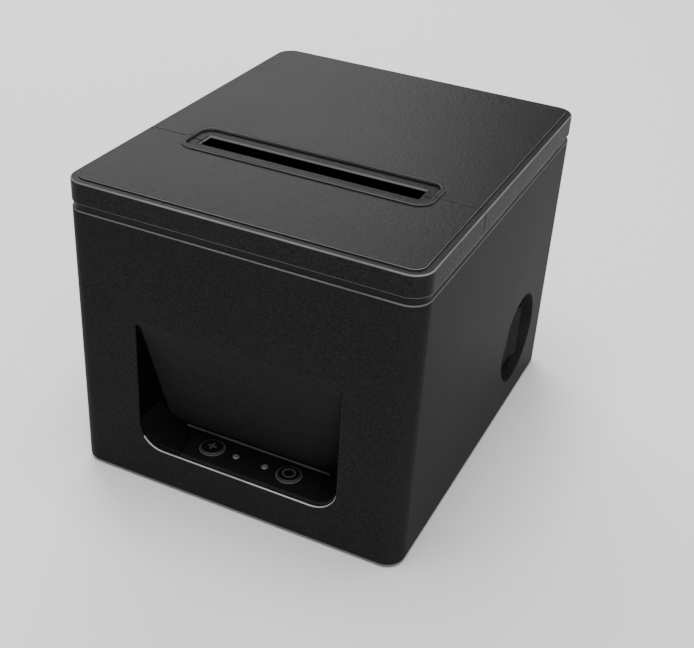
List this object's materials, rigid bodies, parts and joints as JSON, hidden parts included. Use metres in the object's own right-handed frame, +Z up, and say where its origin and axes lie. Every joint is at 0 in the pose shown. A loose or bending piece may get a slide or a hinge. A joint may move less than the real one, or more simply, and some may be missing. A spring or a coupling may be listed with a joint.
{
  "type": "receipt printer",
  "caption": "Box-shaped desktop printer with a hinged lid, a paper slot in a raised bead, a front recess with two buttons and a side power switch.",
  "frame": {"origin": "centre of the footprint, on the surface the rubber feet stand on", "axes": "+Z up, -Y towards the front with the control recess, +X to the right"},
  "size_m": [0.128, 0.1536, 0.1157],
  "materials": {
    "casing_plastic": "fine grain",
    "frame_plastic": "smooth matt",
    "inner_plastic": "smooth matt",
    "button_plastic": "satin",
    "clear_plastic": "clear",
    "white_plastic": "smooth",
    "foot_rubber": "matt",
    "roller_rubber": "ground",
    "steel": "plain",
    "blade_steel": "ground",
    "sheet_steel": "zinc plated",
    "sink_aluminium": "extruded",
    "brass": "plain",
    "ceramic": "glazed",
    "board": "lacquered",
    "chip_plastic": "moulded",
    "film": "film"
  },
  "bodies": {
    "printer": {"main_casing": "casing_plastic", "base_plate": "casing_plastic", "rubber_feet": "foot_rubber", "base_screws": "steel", "top_frame": "frame_plastic", "front_top_cover": "casing_plastic", "cover_screws": "steel", "hinge_pins": "steel", "idler_axle": "steel", "stepper_motor": "sheet_steel", "head_pivot_pin": "steel", "head_springs": "steel", "head_ribbon": "film", "mech_frame": "sheet_steel", "cutter_frame": "sheet_steel", "cutter_cover": "sheet_steel", "cutter_screws": "steel", "cutter_motor": "sheet_steel", "control_panel": "casing_plastic", "light_pipes": "clear_plastic", "button_board": "board", "tact_switches": "chip_plastic", "leds": "clear_plastic", "switch_body": "button_plastic", "paper_bucket": "inner_plastic", "paper_sensor": "chip_plastic", "main_board": "board", "board_components": "chip_plastic", "board_screws": "steel", "buzzer": "chip_plastic", "dc_inlet": "chip_plastic", "usb_port": "sheet_steel", "network_port": "sheet_steel", "drawer_port": "chip_plastic", "rear_panel": "frame_plastic"},
    "lid": {"lid_cover": "casing_plastic", "lid_liner": "frame_plastic", "lid_screws": "steel", "platen_bearings": "white_plastic", "blade_holder": "frame_plastic", "fixed_blade": "blade_steel"},
    "platen": {"platen_shaft": "steel", "platen_rubber": "roller_rubber", "platen_gear": "white_plastic"},
    "idler": {"idler_gear": "white_plastic"},
    "motor_rotor": {"motor_pinion": "brass"},
    "head": {"head_heatsink": "sink_aluminium", "head_substrate": "ceramic"},
    "blade": {"moving_blade": "blade_steel"},
    "wheel": {"cutter_wheel": "white_plastic"},
    "worm": {"cutter_worm": "brass"},
    "latch": {"latch_shaft": "steel", "latch_hooks": "sheet_steel", "latch_spring": "steel"},
    "release": {"release_key": "casing_plastic", "release_link": "frame_plastic"},
    "feed": {"feed_button": "button_plastic"},
    "power": {"power_button": "button_plastic"},
    "rocker": {"switch_rocker": "button_plastic"}
  },
  "joints": [
    {"name": "lid_hinge", "type": "hinge", "parent": "printer", "child": "lid", "pos_m": [0, 0.073, 0.1096], "axis": [-1, 0, 0], "range_deg": [0, 95]},
    {"name": "platen_spin", "type": "hinge", "parent": "lid", "child": "platen", "pos_m": [0, -0.017, 0.091], "axis": [1, 0, 0], "continuous": true},
    {"name": "idler_spin", "type": "hinge", "parent": "printer", "child": "idler", "pos_m": [0, -0.03266, 0.08196], "axis": [1, 0, 0], "continuous": true},
    {"name": "motor_spin", "type": "hinge", "parent": "printer", "child": "motor_rotor", "pos_m": [0, -0.04637, 0.07404], "axis": [1, 0, 0], "continuous": true},
    {"name": "head_tilt", "type": "hinge", "parent": "printer", "child": "head", "pos_m": [0, -0.0299, 0.07926], "axis": [1, 0, 0], "range_deg": [0, 1.5], "stiffness_Nm_per_rad": 3, "springref_deg": -2.86},
    {"name": "blade_slide", "type": "slide", "parent": "printer", "child": "blade", "axis": [0, 1, 0], "range_m": [0, 0.008]},
    {"name": "wheel_spin", "type": "hinge", "parent": "printer", "child": "wheel", "pos_m": [-0.011, -0.05, 0.0915], "axis": [0, 0, 1], "range_deg": [0, 76.5]},
    {"name": "worm_spin", "type": "hinge", "parent": "printer", "child": "worm", "pos_m": [-0.011, -0.0605, 0.0915], "axis": [-1, 0, 0], "range_deg": [0, 1529]},
    {"name": "key_press", "type": "slide", "parent": "printer", "child": "release", "axis": [0, 0, -1], "range_m": [0, 0.0025], "stiffness_N_per_m": 400, "springref_m": -0.003},
    {"name": "latch_turn", "type": "hinge", "parent": "printer", "child": "latch", "pos_m": [0, -0.017, 0.077], "axis": [-1, 0, 0], "range_deg": [0, 15.01]},
    {"name": "feed_press", "type": "slide", "parent": "printer", "child": "feed", "axis": [0, 0, -1], "range_m": [0, 0.0008], "stiffness_N_per_m": 900, "springref_m": -0.0004},
    {"name": "power_press", "type": "slide", "parent": "printer", "child": "power", "axis": [0, 0, -1], "range_m": [0, 0.0008], "stiffness_N_per_m": 900, "springref_m": -0.0004},
    {"name": "rocker_turn", "type": "hinge", "parent": "printer", "child": "rocker", "pos_m": [0.0589, 0.039, 0.0304], "axis": [0, 0, 1], "range_deg": [0, 18]}
  ],
  "couplings": [
    {"joint": "idler_spin", "follows": "platen_spin", "ratio": -0.6},
    {"joint": "motor_spin", "follows": "platen_spin", "ratio": 1.5},
    {"joint": "wheel_spin", "follows": "blade_slide", "rad_per_m": 166.67},
    {"joint": "worm_spin", "follows": "blade_slide", "rad_per_m": 3333.3},
    {"joint": "latch_turn", "follows": "key_press", "rad_per_m": 104.72}
  ]
}
